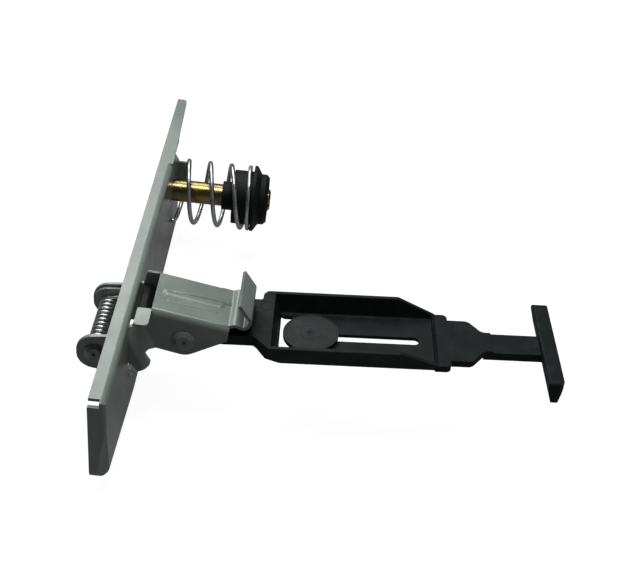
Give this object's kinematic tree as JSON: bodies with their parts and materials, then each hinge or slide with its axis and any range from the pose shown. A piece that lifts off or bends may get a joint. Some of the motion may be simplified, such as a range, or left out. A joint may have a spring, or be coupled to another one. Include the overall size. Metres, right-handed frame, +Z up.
{
  "type": "hood latch",
  "caption": "Pressed steel hood latch plate with a sprung striker pin, a sprung safety hook and a plastic pull handle that slides out through the grille.",
  "frame": {"origin": "midway between the two bolt holes, on the plane that bolts to the hood", "axes": "+X the way the striker pin points, +Y along the plate towards the striker, +Z up"},
  "size_m": [0.2133, 0.26, 0.0633],
  "materials": {
    "paint": "glossy grey-green paint on pressed steel",
    "zinc": "bright zinc plating on spring wire, nut and clips",
    "yellow_zinc": "yellow zinc plating on the striker pin",
    "plastic": "black moulded plastic"
  },
  "bodies": {
    "plate": {"mounting_plate": "paint", "mount_spacer": "zinc", "pivot_pin": "zinc", "torsion_spring": "zinc", "striker_pin": "yellow_zinc", "striker_nut": "zinc", "striker_spring": "zinc", "cup_ring": "zinc"},
    "hook": {"hook_lever": "paint", "handle_spacer": "zinc", "handle_rivet": "paint"},
    "handle": {"pull_handle": "plastic"},
    "button": {"guide_button": "plastic", "button_clip": "plastic"},
    "cup": {"spring_cup": "plastic"}
  },
  "joints": [
    {"name": "hook_swing", "type": "hinge", "parent": "plate", "child": "hook", "pos_m": [-0.007, -0.10355, 0.003], "axis": [0, 1, 0], "range_deg": [0, 17.5], "stiffness_Nm_per_rad": 0.33, "springref_deg": -80.21, "deforming": ["torsion_spring"]},
    {"name": "handle_swing", "type": "hinge", "parent": "hook", "child": "handle", "pos_m": [0.03074, -0.1003, 0.00808], "axis": [0, 1, 0], "range_deg": [-3, 18]},
    {"name": "button_slide", "type": "slide", "parent": "handle", "child": "button", "axis": [0.9973, 0, 0.0732], "range_m": [-0.001, 0.04]},
    {"name": "cup_slide", "type": "slide", "parent": "plate", "child": "cup", "axis": [-1, 0, 0], "range_m": [0, 0.026], "stiffness_N_per_m": 900, "springref_m": -0.0165, "deforming": ["striker_spring"]}
  ]
}
